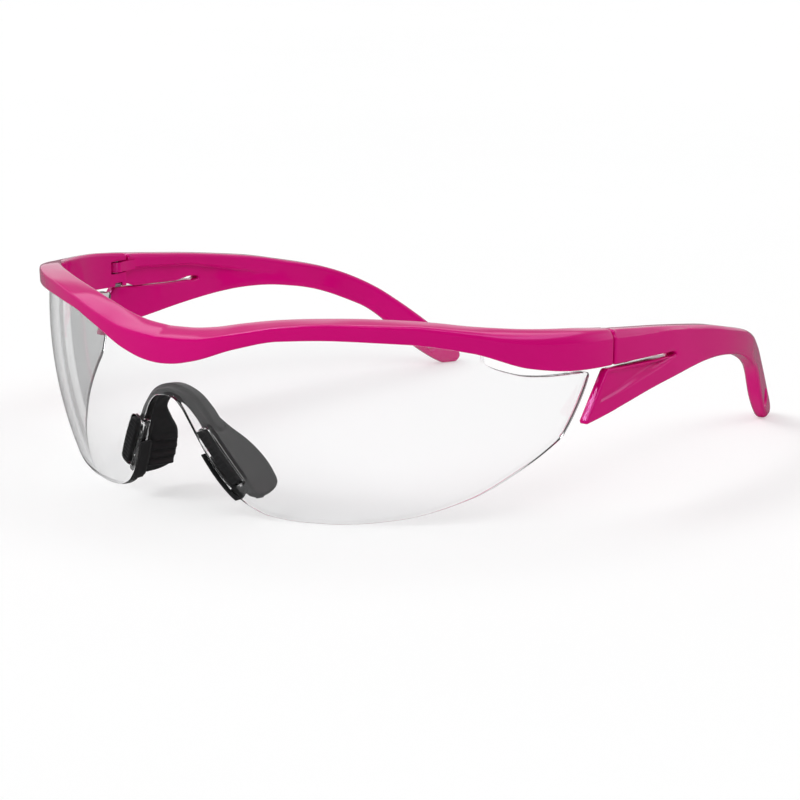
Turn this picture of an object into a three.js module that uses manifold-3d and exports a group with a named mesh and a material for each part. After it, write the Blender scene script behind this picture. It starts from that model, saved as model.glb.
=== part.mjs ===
// Sports protective goggles: a gloss brow frame carries one wraparound clear lens, a soft black nose
// piece is buttoned through two slots in the lens, and two hooked temples fold on vertical hinge screws.
// Millimetres, +Z up, +Y towards the back of the head, +X the wearer's left.
// While modelling, y = 0 is the seam between the frame and the temples, and z = 0 is the table that the
// lens and the temple tips rest on. The finished group is then centred on its own footprint.

import * as THREE from 'three';
import { mergeVertices } from 'three/addons/utils/BufferGeometryUtils.js';
import Module from 'manifold-3d';

// ---------------------------------------------------------------- driving dimensions, mm and degrees

const HALF_WIDTH = 70;              // outer half width of the frame, at the hinges
const WRAP_DEPTH = 57.6;            // depth of the half ellipse that the frame follows in plan
const WRAP_CENTRE_Y = -2.6;         // the ellipse's centre, just ahead of the hinge seam
const FIT_GAP = 0.3;                // clearance between pieces that touch on the real object

const BAR_DEPTH_CENTRE = 5.2;       // frame thickness, front to back, over the nose
const BAR_DEPTH_HINGE = 4.2;        // frame thickness at the hinges
const FRAME_END_Y = -0.2;           // rear end of the frame, at the seam

const LENS_THICKNESS = 2.0;
const LENS_SETBACK = 2.0;           // lens outer surface behind the frame's outer wall
const LENS_VERTICAL_RADIUS = 90;    // the lens curves in below the brow with this radius
const LENS_UPRIGHT_Z = 33;          // height at which the lens surface is vertical
const LENS_END_ANGLE = 87.2;        // rear top corner of the lens, measured round the wrap
const LENS_LEAVES_FRAME = 61;       // where the lens top steps down out of the frame, leaving a vent
const GROOVE_DEPTH = 1.9;           // groove in the frame's underside
const LENS_IN_GROOVE = 1.5;         // how far the lens edge reaches into it

const SLOT_TOP = [8.7, 18.3];       // nose piece slot in the lens, centre line ends, x and z
const SLOT_BOTTOM = [15.5, 7.3];
const SLOT_WIDTH = 2.6;

const HINGE_X = 66.9;               // hinge axis
const HINGE_Y = -3.0;
const TONGUE_RADIUS = 1.7;
const TONGUE_LOW = 33.9;            // temple tongue between the frame's two ears
const TONGUE_HIGH = 36.1;
const SCREW_RADIUS = 0.7;
const SCREW_GAP = 0.1;              // running clearance round the screw's shank
const SCREW_HEAD_RADIUS = 1.3;
const SCREW_HEAD_HEIGHT = 0.7;

const TEMPLE_START_Y = 0.2;         // front end of the temple arm, at the seam
const ARM_THICKNESS = 4.2;
const TIP_THICKNESS = 3.3;          // the hook behind the ear is slimmer
const TIP_SLOPE = -0.18;            // the slope in plan that the hook's faces untwist to
const ARM_LOWER_THICKNESS = 3.0;    // the arm's lower half, below the step on its inner face
const WING_THICKNESS_FRONT = 2.0;
const WING_THICKNESS_REAR = 3.2;
const RECESS_DEPTH = 0.8;           // triangular panel sunk in the wing's outer face

const PAD_THICKNESS = 2.2;          // nose piece wall
const RIB_COUNT = 4;                // grip ribs on each nose pad
const RIB_HEIGHT = 0.45;
const LIP_REACH = 1.0;              // the nose piece's lip stands this far outside the notch edge

// ---------------------------------------------------------------- shape curves

// A smooth curve through [position, value] stations, without overshoot between them.
function smoothCurve(stations) {
  const slopes = stations.slice(1).map(([x, y], i) => (y - stations[i][1]) / (x - stations[i][0]));
  const tangents = stations.map((_, i) => {
    const before = slopes[Math.max(i - 1, 0)];
    const after = slopes[Math.min(i, slopes.length - 1)];
    if (before * after <= 0) return 0;
    return 2 * before * after / (before + after);
  });
  return (x) => {
    const last = stations.length - 2;
    const found = stations.findIndex((s, i) => i <= last && x <= stations[i + 1][0]);
    const i = found < 0 ? last : found;
    const [x0, y0] = stations[i];
    const [x1, y1] = stations[i + 1];
    const span = x1 - x0;
    const t = THREE.MathUtils.clamp((x - x0) / span, 0, 1);
    const rise = y1 - y0;
    const m0 = tangents[i] * span;
    const m1 = tangents[i + 1] * span;
    return y0 + t * (m0 + t * (3 * rise - 2 * m0 - m1 + t * (m0 + m1 - 2 * rise)));
  };
}

// Heights round the wrap, as [angle from the nose, height].
const barBottomZ = smoothCurve([[0, 31.4], [8, 32.9], [16, 36.2], [24, 38.5], [34, 39.2], [46, 38.75],
  [58, 36.7], [70, 32.7], [81, 31.0], [93, 30.4]]);
const barRidgeZ = smoothCurve([[0, 37.0], [8, 37.6], [16, 39.5], [24, 41.5], [34, 42.6], [46, 42.5],
  [58, 41.1], [64, 40.1], [70, 39.4], [76, 38.95], [82, 38.6], [88, 38.1], [93, 37.6]]);
const barTopZ = smoothCurve([[0, 38.4], [5, 38.7], [10, 39.45], [16, 40.85], [23, 42.1], [30, 42.75],
  [38, 43.05], [46, 42.8], [52, 42.3], [58, 41.5], [64, 40.85], [70, 40.2], [76, 39.65], [82, 39.1],
  [88, 38.35], [93, 37.7]]);
const lensBottomZ = smoothCurve([[0, 24.3], [1.8, 23.9], [3.4, 22.3], [4.8, 19.6], [6.2, 16.4],
  [7.6, 13.2], [10, 8.4], [12.7, 4.6], [15.6, 2.2], [19.5, 0.7], [26, 0.05], [31, 0.05], [44, 1.3],
  [60, 5.7], [70, 10.6], [78, 15.2], [80.6, 17.0], [82, 19.0], [85.2, 24.6], [86.6, 27.5],
  [LENS_END_ANGLE, 29.2]]);
const lensVentZ = smoothCurve([[61, 34.6], [61.6, 33.8], [65.8, 32.0], [70.5, 30.8], [76, 30.3],
  [85.4, 29.9], [86.8, 29.6], [LENS_END_ANGLE, 29.4]]);

function lensTopZ(angle) {
  if (angle < LENS_LEAVES_FRAME) return barBottomZ(angle) + LENS_IN_GROOVE;
  return lensVentZ(angle);
}

function barDepth(angle) {
  return THREE.MathUtils.lerp(BAR_DEPTH_CENTRE, BAR_DEPTH_HINGE, THREE.MathUtils.smoothstep(angle, 30, 80));
}

// A point at an angle round the wrap, some depth inside the frame's outer wall. Works for both sides.
function wrapPoint(angle, z, depth) {
  const a = THREE.MathUtils.degToRad(angle);
  const normal = new THREE.Vector2(WRAP_DEPTH * Math.sin(a), -HALF_WIDTH * Math.cos(a)).normalize();
  const x = HALF_WIDTH * Math.sin(a) - depth * normal.x;
  const y = WRAP_CENTRE_Y - WRAP_DEPTH * Math.cos(a) - depth * normal.y;
  return new THREE.Vector3(x, y, z);
}

// A point of the lens, some depth inside its outer surface.
function lensPoint(angle, z, depth) {
  const drop = z - LENS_UPRIGHT_Z;
  const tuck = LENS_VERTICAL_RADIUS - Math.sqrt(LENS_VERTICAL_RADIUS ** 2 - drop ** 2);
  return wrapPoint(angle, z, LENS_SETBACK + tuck + depth);
}

// The same, given the sideways position instead of the angle.
function lensPointAtX(x, z, depth) {
  let angle = THREE.MathUtils.radToDeg(Math.asin(x / HALF_WIDTH));
  for (let pass = 0; pass < 4; pass += 1) {
    angle += THREE.MathUtils.radToDeg((x - lensPoint(angle, z, depth).x) / HALF_WIDTH);
  }
  return lensPoint(angle, z, depth);
}

// ---------------------------------------------------------------- solids

const wasm = await Module();
wasm.setup();

function range(count, from, to) {
  return Array.from({ length: count + 1 }, (_, i) => THREE.MathUtils.lerp(from, to, i / count));
}

function toSolid(geometry) {
  const bare = geometry.clone();
  bare.deleteAttribute('normal');
  bare.deleteAttribute('uv');
  const merged = mergeVertices(bare, 1e-5);
  return new wasm.Manifold(new wasm.Mesh({
    numProp: 3,
    vertProperties: new Float32Array(merged.attributes.position.array),
    triVerts: new Uint32Array(merged.index.array),
  }));
}

function toGeometry(solid) {
  const mesh = solid.getMesh();
  const geometry = new THREE.BufferGeometry();
  geometry.setAttribute('position', new THREE.BufferAttribute(new Float32Array(mesh.vertProperties), 3));
  geometry.setIndex(new THREE.BufferAttribute(new Uint32Array(mesh.triVerts), 1));
  return geometry;
}

// A closed solid through a row of rings with equal point counts, with flat ends.
function loft(rings) {
  const size = rings[0].length;
  const positions = rings.flat().flatMap((p) => [p.x, p.y, p.z]);
  const triangles = [];
  for (let r = 0; r + 1 < rings.length; r += 1) {
    for (let i = 0; i < size; i += 1) {
      const a = r * size + i;
      const b = r * size + (i + 1) % size;
      triangles.push([a, b, a + size], [b, b + size, a + size]);
    }
  }
  const lastRing = (rings.length - 1) * size;
  for (let i = 1; i + 1 < size; i += 1) {
    triangles.push([0, i + 1, i], [lastRing, lastRing + i, lastRing + i + 1]);
  }
  const point = (i) => new THREE.Vector3().fromArray(positions, 3 * i);
  const volume = triangles.reduce((sum, [a, b, c]) => sum + point(a).dot(point(b).cross(point(c))), 0);
  const facing = volume > 0 ? triangles : triangles.map(([a, b, c]) => [a, c, b]);
  const geometry = new THREE.BufferGeometry();
  geometry.setAttribute('position', new THREE.Float32BufferAttribute(positions, 3));
  geometry.setIndex(facing.flat());
  return toSolid(geometry);
}

function box(low, high) {
  const size = high.map((value, i) => value - low[i]);
  const geometry = new THREE.BoxGeometry(...size);
  geometry.translate(...high.map((value, i) => (value + low[i]) / 2));
  return toSolid(geometry);
}

function uprightCylinder(radius, low, high) {
  const geometry = new THREE.CylinderGeometry(radius, radius, high - low, 24);
  geometry.rotateX(Math.PI / 2);
  geometry.translate(HINGE_X, HINGE_Y, (low + high) / 2);
  return toSolid(geometry);
}

function mirrored(solid) {
  return solid.mirror([1, 0, 0]);
}

function onBothSides(solid) {
  return solid.add(mirrored(solid));
}

// ---------------------------------------------------------------- brow frame

// The bar's section at an angle, as [depth inside the outer wall, height]: a front face with a faint
// crease, a rounded ridge, a top face that climbs inwards, and a plain back.
function barSection(angle) {
  const side = Math.abs(angle);
  const low = barBottomZ(side);
  const ridge = barRidgeZ(side);
  const depth = barDepth(side);
  const top = barTopZ(side);
  const crease = THREE.MathUtils.lerp(low, ridge, 0.55);
  return [[0.6, low], [0.1, low + 0.5], [0, crease], [0.3, ridge - 0.6], [0.9, ridge],
    [depth - 0.8, top], [depth, top - 0.8], [depth, low + 0.5], [depth - 0.5, low]];
}

function makeBrowFrame() {
  const endAngle = 90 + THREE.MathUtils.radToDeg(Math.asin((FRAME_END_Y - WRAP_CENTRE_Y) / WRAP_DEPTH));
  const rings = range(88, -endAngle, endAngle).map((angle) => (
    barSection(angle).map(([depth, z]) => wrapPoint(angle, z, depth))));
  const grooveRings = range(58, -LENS_LEAVES_FRAME, LENS_LEAVES_FRAME).map((angle) => {
    const low = barBottomZ(Math.abs(angle));
    const outer = -FIT_GAP;
    const inner = LENS_THICKNESS + FIT_GAP;
    return [[outer, low - 2], [inner, low - 2], [inner, low + GROOVE_DEPTH], [outer, low + GROOVE_DEPTH]]
      .map(([depth, z]) => lensPoint(angle, z, depth));
  });
  const pocket = box([HINGE_X - 6, HINGE_Y - TONGUE_RADIUS - 0.7, TONGUE_LOW - FIT_GAP],
    [HINGE_X + TONGUE_RADIUS + FIT_GAP, 2, TONGUE_HIGH + FIT_GAP]);
  const screwHole = uprightCylinder(SCREW_RADIUS + SCREW_GAP, 29, 36.95);
  const screwSeat = uprightCylinder(SCREW_HEAD_RADIUS + FIT_GAP, 29, 30.45 + SCREW_HEAD_HEIGHT + FIT_GAP);
  const hingeCuts = pocket.add(screwHole).add(screwSeat);
  return loft(rings).subtract(loft(grooveRings)).subtract(onBothSides(hingeCuts));
}

// ---------------------------------------------------------------- lens

// The nose piece slot, or the plug that fills it: a bar through the lens, with its ends at two depths.
function slotBar(halfWidth, halfLengthChange, frontDepth, backDepth) {
  const top = new THREE.Vector2(...SLOT_TOP);
  const bottom = new THREE.Vector2(...SLOT_BOTTOM);
  const along = bottom.clone().sub(top).normalize();
  const across = new THREE.Vector2(-along.y, along.x);
  const corner = (end, lengthways, widthways) => end.clone()
    .addScaledVector(along, lengthways).addScaledVector(across, widthways);
  const corners = [corner(top, -halfLengthChange, -halfWidth), corner(top, -halfLengthChange, halfWidth),
    corner(bottom, halfLengthChange, halfWidth), corner(bottom, halfLengthChange, -halfWidth)];
  return loft([frontDepth, backDepth].map((depth) => (
    corners.map((c) => lensPointAtX(c.x, c.y, depth)))));
}

// Angles crowd together where the outline turns quickly: at the nose notch and at both ends.
function lensAngles() {
  const side = [...range(26, 0, 20), ...range(22, 20, 60.9).slice(1), ...range(3, 61, 61.6),
    ...range(10, 61.6, 78).slice(1), ...range(10, 78, LENS_END_ANGLE).slice(1)];
  return [...side.slice(1).reverse().map((angle) => -angle), ...side];
}

function makeLens() {
  const rows = range(3, 0, 1);
  const rings = lensAngles().map((angle) => {
    const low = lensBottomZ(Math.abs(angle));
    const high = lensTopZ(Math.abs(angle));
    const outer = rows.map((t) => lensPoint(angle, THREE.MathUtils.lerp(low, high, t), 0));
    const inner = rows.map((t) => lensPoint(angle, THREE.MathUtils.lerp(high, low, t), LENS_THICKNESS));
    return [...outer, ...inner];
  });
  const slot = slotBar(SLOT_WIDTH / 2, 0, -2, LENS_THICKNESS + 2);
  return loft(rings).subtract(onBothSides(slot));
}

// ---------------------------------------------------------------- nose piece

const PAD_FRONT_DEPTH = LENS_THICKNESS + FIT_GAP + 0.2;

// Front and rear edges of the saddle, from the top of the arch down to the foot of one pad. The front
// edge is given as [x, z] on the back of the lens, the rear edge as [x, y, z].
const SADDLE_FRONT = [[0, 24.8], [4.0, 23.7], [6.8, 21.2], [8.8, 18.2], [10.8, 15.0], [12.7, 11.8],
  [14.6, 8.6], [15.9, 6.0], [16.7, 4.2]];
const SADDLE_REAR = [[0, -51.2, 24.4], [4.0, -51.0, 23.3], [6.7, -50.0, 20.4], [8.2, -47.2, 17.2],
  [9.9, -43.8, 14.0], [12.0, -41.7, 10.8], [13.7, -40.6, 7.8], [15.0, -40.7, 5.2], [16.0, -44.8, 3.6]];

function bothWays(points) {
  const other = points.slice(1).reverse().map((p) => new THREE.Vector3(-p.x, p.y, p.z));
  return new THREE.CatmullRomCurve3([...other, ...points], false, 'catmullrom', 0.5);
}

// How far a rib stands out of the nose side of a pad, at a share of the way from one foot to the other.
function ribHeight(share) {
  const fromTop = Math.abs(share - 0.5) * 2;
  const position = (fromTop - 0.52) / 0.36 * RIB_COUNT;
  if (position < 0 || position > RIB_COUNT) return 0;
  return RIB_HEIGHT * Math.sin(Math.PI * (position % 1)) ** 2;
}

function makeNosePiece() {
  const front = bothWays(SADDLE_FRONT.map(([x, z]) => lensPointAtX(x, z, PAD_FRONT_DEPTH)));
  const rear = bothWays(SADDLE_REAR.map((p) => new THREE.Vector3(...p)));
  const rings = range(104, 0, 1).map((share) => {
    const a = front.getPoint(share);
    const b = rear.getPoint(share);
    const across = b.clone().sub(a);
    const along = front.getTangent(share).add(rear.getTangent(share));
    const outward = along.cross(across).normalize();
    const half = PAD_THICKNESS / 2;
    const rib = ribHeight(share);
    return [[0, half], [0.5, half], [0.9, half * 0.8], [1, half * 0.2], [1, -half * 0.3],
      [0.9, -half * 0.8 - rib], [0.25, -half - rib], [0, -half]].map(([t, lift]) => (
      a.clone().addScaledVector(across, t).addScaledVector(outward, lift)));
  });
  const plug = slotBar(SLOT_WIDTH / 2 - FIT_GAP, -FIT_GAP, -0.8, 4.2);
  return loft(rings).add(onBothSides(plug.add(makeNotchLip())));
}

// The lip that wraps the lower part of the notch edge, joined to the pad behind the lens.
function makeNotchLip() {
  const strip = (angles, nearEdge, farEdge, frontDepth, backDepth) => loft(angles.map((angle) => {
    const z = lensBottomZ(angle);
    const ahead = lensBottomZ(angle + 0.2);
    const slope = Math.atan2(z - ahead, THREE.MathUtils.degToRad(0.2) * HALF_WIDTH);
    const x = lensPoint(angle, z, 0).x;
    return [[nearEdge, frontDepth], [farEdge, frontDepth], [farEdge, backDepth], [nearEdge, backDepth]]
      .map(([offset, depth]) => (
        lensPointAtX(x - offset * Math.sin(slope), z - offset * Math.cos(slope), depth)));
  }));
  const behind = LENS_THICKNESS + FIT_GAP;
  const lip = strip(range(14, 7.6, 13.2), FIT_GAP, LIP_REACH, -0.6, behind + 1.4);
  const flange = strip(range(12, 7.9, 12.9), -2.4, LIP_REACH - 0.1, behind, behind + 1.3);
  return lip.add(flange);
}

// ---------------------------------------------------------------- temples

// Centre of the arm's thickness in plan, as [y, x]: nearly straight, then bowed in behind the ear.
const armCentreX = smoothCurve([[-12, 67.9], [0, 67.9], [20, 67.0], [32, 65.8], [45, 63.9], [58, 60.8],
  [65, 58.5], [72, 55.3], [80, 51.4], [90, 46.8], [96, 44.2]]);

// Edges seen from the side, as [y, z], paired top to bottom from the hinge to the tip.
const ARM_TOP = [[TEMPLE_START_Y, 37.6], [5, 37.05], [10, 36.4], [20, 35.1], [30, 33.6], [40, 31.9],
  [48, 30.1], [56, 28.2], [62, 26.45], [68, 24.0], [74, 20.6], [79, 16.9], [83.4, 13.3], [87.4, 9.8],
  [90.8, 6.6], [93.2, 4.2], [94.4, 2.5], [94.5, 1.1], [93.6, 0]];
const ARM_BOTTOM = [[TEMPLE_START_Y, 30.5], [5, 30.25], [10, 30.05], [20, 29.5], [29, 27.2], [37, 24.85],
  [45, 24.3], [52, 23.25], [57.5, 21.95], [62.5, 20.2], [67.5, 17.95], [71.5, 15.8], [74.9, 13.1],
  [77.4, 10.5], [79.9, 7.8], [82.9, 5.1], [86.0, 2.7], [88.7, 0.9], [90.4, 0]];
const WING_TOP = [[-2.1, 29.85], [3, 29.35], [11.5, 28.65], [22.5, 28.45], [34, 27.0]];
const WING_BOTTOM = [[-9.7, 19.7], [1, 21.1], [12, 22.8], [24, 24.05], [36, 24.75]];
const RECESS_TOP = [[-1.6, 28.8], [21.5, 28.1]];
const RECESS_BOTTOM = [[-4.4, 23.7], [21.1, 27.8]];

function sideCurve(points) {
  return new THREE.CatmullRomCurve3(points.map(([y, z]) => new THREE.Vector3(0, y, z)),
    false, 'catmullrom', 0.5);
}

// A point of the temple from its place in the side view, some depth inside the outer face.
function templePoint(y, z, inset) {
  const step = 0.5;
  const pathSlope = (armCentreX(y + step) - armCentreX(y - step)) / (2 * step);
  const slope = THREE.MathUtils.lerp(pathSlope, TIP_SLOPE, THREE.MathUtils.smoothstep(y, 76, 92));
  const outward = new THREE.Vector3(1, -slope, 0).normalize();
  return new THREE.Vector3(armCentreX(y), y, z).addScaledVector(outward, ARM_THICKNESS / 2 - inset);
}

// A plate or bar that follows the temple in plan. The section gives points as [inset from the outer
// face, distance down from the top edge], from the share of the way back and the height there.
function templeLoft(top, bottom, count, section) {
  const topCurve = sideCurve(top);
  const bottomCurve = sideCurve(bottom);
  return loft(range(count, 0, 1).map((share) => {
    const a = topCurve.getPoint(share);
    const down = bottomCurve.getPoint(share).sub(a);
    const height = down.length();
    down.divideScalar(height);
    return section(share, height, a.y).map(([inset, fall]) => (
      templePoint(a.y + down.y * fall, a.z + down.z * fall, inset)));
  }));
}

function armSection(share, height, y) {
  const fade = THREE.MathUtils.smoothstep(y, 25, 50);
  const lower = THREE.MathUtils.lerp(ARM_LOWER_THICKNESS, ARM_THICKNESS, fade);
  const slimming = THREE.MathUtils.smoothstep(y, 50, 72) * (ARM_THICKNESS - TIP_THICKNESS);
  const rounding = THREE.MathUtils.smoothstep(share, 0.93, 1) * 0.6;
  const edge = Math.min(0.9, height / 3);
  const inset = (slimming + rounding) / 2;
  return [[edge + inset, 0], [0.25 + inset, 0.3 * edge], [inset, edge], [inset, height - edge],
    [0.25 + inset, height - 0.3 * edge], [edge + inset, height], [lower - edge - inset, height],
    [lower - inset, height - edge], [lower - inset, height * 0.52], [ARM_THICKNESS - inset, height * 0.44],
    [ARM_THICKNESS - inset, edge], [ARM_THICKNESS - edge - inset, 0]];
}

function wingSection(share, height, y) {
  const thick = THREE.MathUtils.lerp(WING_THICKNESS_FRONT, WING_THICKNESS_REAR,
    THREE.MathUtils.smoothstep(y, -2, 12));
  const edge = 0.4;
  const bevel = 1.2;
  return [[edge, 0], [0, edge], [0, height - edge], [edge, height], [thick - bevel, height],
    [thick, height - bevel], [thick, edge], [thick - edge, 0]];
}

function recessSection(share, height) {
  return [[-2, 0], [RECESS_DEPTH, 0], [RECESS_DEPTH, height], [-2, height]];
}

function makeTemple() {
  const arm = templeLoft(ARM_TOP, ARM_BOTTOM, 64, armSection);
  const wing = templeLoft(WING_TOP, WING_BOTTOM, 20, wingSection);
  const recess = templeLoft(RECESS_TOP, RECESS_BOTTOM, 10, recessSection);
  const eye = uprightCylinder(TONGUE_RADIUS, TONGUE_LOW, TONGUE_HIGH);
  const neck = box([HINGE_X - 1.4, HINGE_Y, TONGUE_LOW], [HINGE_X + 1.5, TEMPLE_START_Y + 2, TONGUE_HIGH]);
  const hole = uprightCylinder(SCREW_RADIUS + SCREW_GAP, TONGUE_LOW - 1, TONGUE_HIGH + 1);
  const lanyardHole = new THREE.CylinderGeometry(1.1, 1.1, 20, 20);
  lanyardHole.rotateZ(Math.PI / 2);
  lanyardHole.scale(1, 1, 1.5);
  lanyardHole.translate(armCentreX(87), 87.0, 5.6);
  return arm.add(wing).subtract(recess).add(eye).add(neck).subtract(hole).subtract(toSolid(lanyardHole));
}

// ---------------------------------------------------------------- hinge screw

// Driven in from below, so its slotted head shows only on the underside of the frame.
function makeHingeScrew() {
  const low = 30.45;
  const shoulder = low + SCREW_HEAD_HEIGHT;
  const tip = 36.6;
  const profile = [[0, low], [SCREW_HEAD_RADIUS - 0.2, low], [SCREW_HEAD_RADIUS, low + 0.2],
    [SCREW_HEAD_RADIUS, shoulder], [SCREW_RADIUS, shoulder], [SCREW_RADIUS, tip - 0.3],
    [SCREW_RADIUS - 0.3, tip], [0, tip]];
  const geometry = new THREE.LatheGeometry(profile.map(([r, z]) => new THREE.Vector2(r, z)), 24);
  geometry.rotateX(Math.PI / 2);
  geometry.translate(HINGE_X, HINGE_Y, 0);
  const slot = box([HINGE_X - 2, HINGE_Y - 0.2, low - 1], [HINGE_X + 2, HINGE_Y + 0.2, low + 0.35]);
  return toSolid(geometry).subtract(slot);
}

// ---------------------------------------------------------------- assembly

const glossPink = new THREE.MeshStandardMaterial({ color: 0xd6077a, roughness: 0.18, metalness: 0 });
const clearPolycarbonate = new THREE.MeshStandardMaterial({
  color: 0xf4f8fa, roughness: 0.03, metalness: 0, transparent: true, opacity: 0.25,
});
const blackRubber = new THREE.MeshStandardMaterial({ color: 0x242426, roughness: 0.55, metalness: 0 });
const steel = new THREE.MeshStandardMaterial({ color: 0xb9bcc0, roughness: 0.35, metalness: 1 });

const goggles = new THREE.Group();

function addPiece(name, solid, material) {
  const mesh = new THREE.Mesh(toGeometry(solid), material);
  mesh.name = name;
  goggles.add(mesh);
}

const temple = makeTemple();
const hingeScrew = makeHingeScrew();
addPiece('brow_frame', makeBrowFrame(), glossPink);
addPiece('lens', makeLens(), clearPolycarbonate);
addPiece('nose_piece', makeNosePiece(), blackRubber);
addPiece('temple_left', temple, glossPink);
addPiece('temple_right', mirrored(temple), glossPink);
addPiece('hinge_screw_left', hingeScrew, steel);
addPiece('hinge_screw_right', mirrored(hingeScrew), steel);

// The origin is the middle of the footprint, on the table.
const bounds = new THREE.Box3().setFromObject(goggles);
const centre = bounds.getCenter(new THREE.Vector3());
goggles.position.set(-centre.x, -centre.y, -bounds.min.z);

export default goggles;
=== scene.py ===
"""Sports protective goggles: the looks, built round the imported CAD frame.

Shapes are worked out in millimetres in the same modelling frame as the CAD source: y = 0 is the seam
between the frame and the temples, z = 0 is the table, +X is the wearer's left. Blender gets metres.
"""

import math

import bpy
import numpy as np
from mathutils import Matrix, Vector
from mathutils.geometry import delaunay_2d_cdt


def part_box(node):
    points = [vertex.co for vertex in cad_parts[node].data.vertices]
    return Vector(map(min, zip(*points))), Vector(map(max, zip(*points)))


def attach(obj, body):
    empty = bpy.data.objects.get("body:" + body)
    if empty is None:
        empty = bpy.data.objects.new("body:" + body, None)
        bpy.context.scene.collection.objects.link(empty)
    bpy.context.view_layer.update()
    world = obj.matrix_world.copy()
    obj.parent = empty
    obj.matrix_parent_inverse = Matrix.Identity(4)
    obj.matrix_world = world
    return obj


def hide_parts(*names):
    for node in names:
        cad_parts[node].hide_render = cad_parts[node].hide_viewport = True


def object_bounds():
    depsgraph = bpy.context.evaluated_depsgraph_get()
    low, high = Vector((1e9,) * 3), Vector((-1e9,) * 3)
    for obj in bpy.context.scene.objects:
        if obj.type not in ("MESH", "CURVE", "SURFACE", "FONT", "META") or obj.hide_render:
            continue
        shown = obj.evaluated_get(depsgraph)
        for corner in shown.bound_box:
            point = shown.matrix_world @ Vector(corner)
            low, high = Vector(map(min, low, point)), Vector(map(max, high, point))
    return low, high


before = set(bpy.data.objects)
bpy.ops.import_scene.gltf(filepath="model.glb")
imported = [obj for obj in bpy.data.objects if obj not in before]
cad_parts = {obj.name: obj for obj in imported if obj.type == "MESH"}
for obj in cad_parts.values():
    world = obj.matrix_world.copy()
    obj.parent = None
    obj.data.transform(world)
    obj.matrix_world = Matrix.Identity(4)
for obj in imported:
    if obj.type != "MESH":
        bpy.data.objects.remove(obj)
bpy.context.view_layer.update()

MM = 0.001

# ---- driving dimensions, mm and degrees

HALF_WIDTH = 70.0             # outer half width of the frame, at the hinges
WRAP_DEPTH = 57.6             # depth of the half ellipse that the frame follows in plan
WRAP_CENTRE_Y = -2.6
BAR_DEPTH_CENTRE = 5.2        # frame thickness, front to back, over the nose
BAR_DEPTH_HINGE = 4.2
FRAME_END_Y = -0.2            # rear end of the frame, at the seam
SEAM_ROUNDING = 0.35          # edges of the frame and the temple where they meet

LENS_THICKNESS = 2.0
LENS_MIDDLE_Z = 20.0
LENS_SETBACK = 2.0
LENS_VERTICAL_RADIUS = 90.0
LENS_UPRIGHT_Z = 33.0         # the lens's wall stands upright here and tucks in below
LENS_END_ANGLE = 87.2
LENS_LEAVES_FRAME = 61.0      # angle past which the lens's top edge runs below the frame
LENS_IN_GROOVE = 1.5
LENS_EDGE_ROUNDING = 0.4
GROOVE_DEPTH = 1.8
GROOVE_GAP = 0.15

SLOT_TOP = (8.7, 18.3)        # nose piece slot in the lens, centre line ends, x and z
SLOT_BOTTOM = (15.5, 7.3)
SLOT_WIDTH = 2.6

HINGE_X = 66.9
HINGE_Y = -3.0
TONGUE_RADIUS = 1.7
TONGUE_LOW = 33.9
TONGUE_HIGH = 36.1
SCREW_RADIUS = 0.7
SCREW_HEAD_RADIUS = 1.3
SCREW_HEAD_HEIGHT = 0.7
SCREW_LOW = 30.45
SCREW_TIP = 36.6
SCREW_HOLE_RADIUS = 0.8
SCREW_HOLE_LOW = 29.0         # the frame is cut from below its underside up to the next value
SCREW_HOLE_HIGH = 36.95
THREAD_PITCH = 0.3

TEMPLE_START_Y = 0.2
ARM_THICKNESS = 4.2
TIP_THICKNESS = 3.3
TIP_SLOPE = -0.18             # the slope in plan that the hook's faces untwist to
ARM_LOWER_THICKNESS = 3.0
WING_THICKNESS_FRONT = 2.0
WING_THICKNESS_REAR = 3.2
RECESS_DEPTH = 1.05
SLIT_LIP = 0.75               # how far the arm's inner wall hangs over the slit above the wing
LANYARD_HOLE = (87.0, 5.6)    # centre, as y and z
LANYARD_HOLE_RADII = (1.1, 1.65)

PAD_THICKNESS = 2.2
PAD_EDGE_ROUNDING = 0.9
RIB_COUNT = 4
RIB_HEIGHT = 0.75
STRIP_HALF_LENGTH = 11.5      # raised strip over the arch of the nose piece, round its middle line
STRIP_OFFSET = 2.6
STRIP_HEIGHT = 0.6
NOSE_PIECE_VOXEL = 0.14

CAMERA_AZIMUTH = 39.41
CAMERA_ELEVATION = 12.80
CAMERA_DISTANCE = 700.0
CAMERA_RIGHT = 10.90
CAMERA_UP = 12.84
CAMERA_LENS = 145.44          # on a 36 mm sensor
STUDIO_BRIGHTNESS = 0.76

KEY_AZIMUTH = -38.0
KEY_ELEVATION = 46.0
KEY_SPREAD = 24.0
KEY_STRENGTH = 0.75
FLOOR_HALF_SIZE = 4.0         # in metres
FLOOR_GAP = 0.0001            # from the floor up to the object, in metres

# The seam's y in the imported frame, in mm.
SEAM_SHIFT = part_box("brow_frame")[1].y / MM - FRAME_END_Y


# ---- curves

def smoothstep(x, low, high):
    t = np.clip((np.asarray(x, float) - low) / (high - low), 0, 1)
    return t * t * (3 - 2 * t)


def lerp(a, b, t):
    return a + (b - a) * t


def smooth_curve(*stations):
    """A smooth curve through (position, value) stations, without overshoot between them."""
    xs, ys = np.array(stations, float).T
    slopes = np.diff(ys) / np.diff(xs)
    before = np.concatenate([slopes[:1], slopes])
    after = np.concatenate([slopes, slopes[-1:]])
    same = before * after > 0
    tangents = np.where(same, 2 * before * after / np.where(same, before + after, 1), 0)

    def curve(x):
        x = np.asarray(x, float)
        i = np.clip(np.searchsorted(xs, x) - 1, 0, len(xs) - 2)
        span = xs[i + 1] - xs[i]
        t = np.clip((x - xs[i]) / span, 0, 1)
        rise = ys[i + 1] - ys[i]
        m0 = tangents[i] * span
        m1 = tangents[i + 1] * span
        return ys[i] + t * (m0 + t * (3 * rise - 2 * m0 - m1 + t * (m0 + m1 - 2 * rise)))
    return curve


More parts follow.
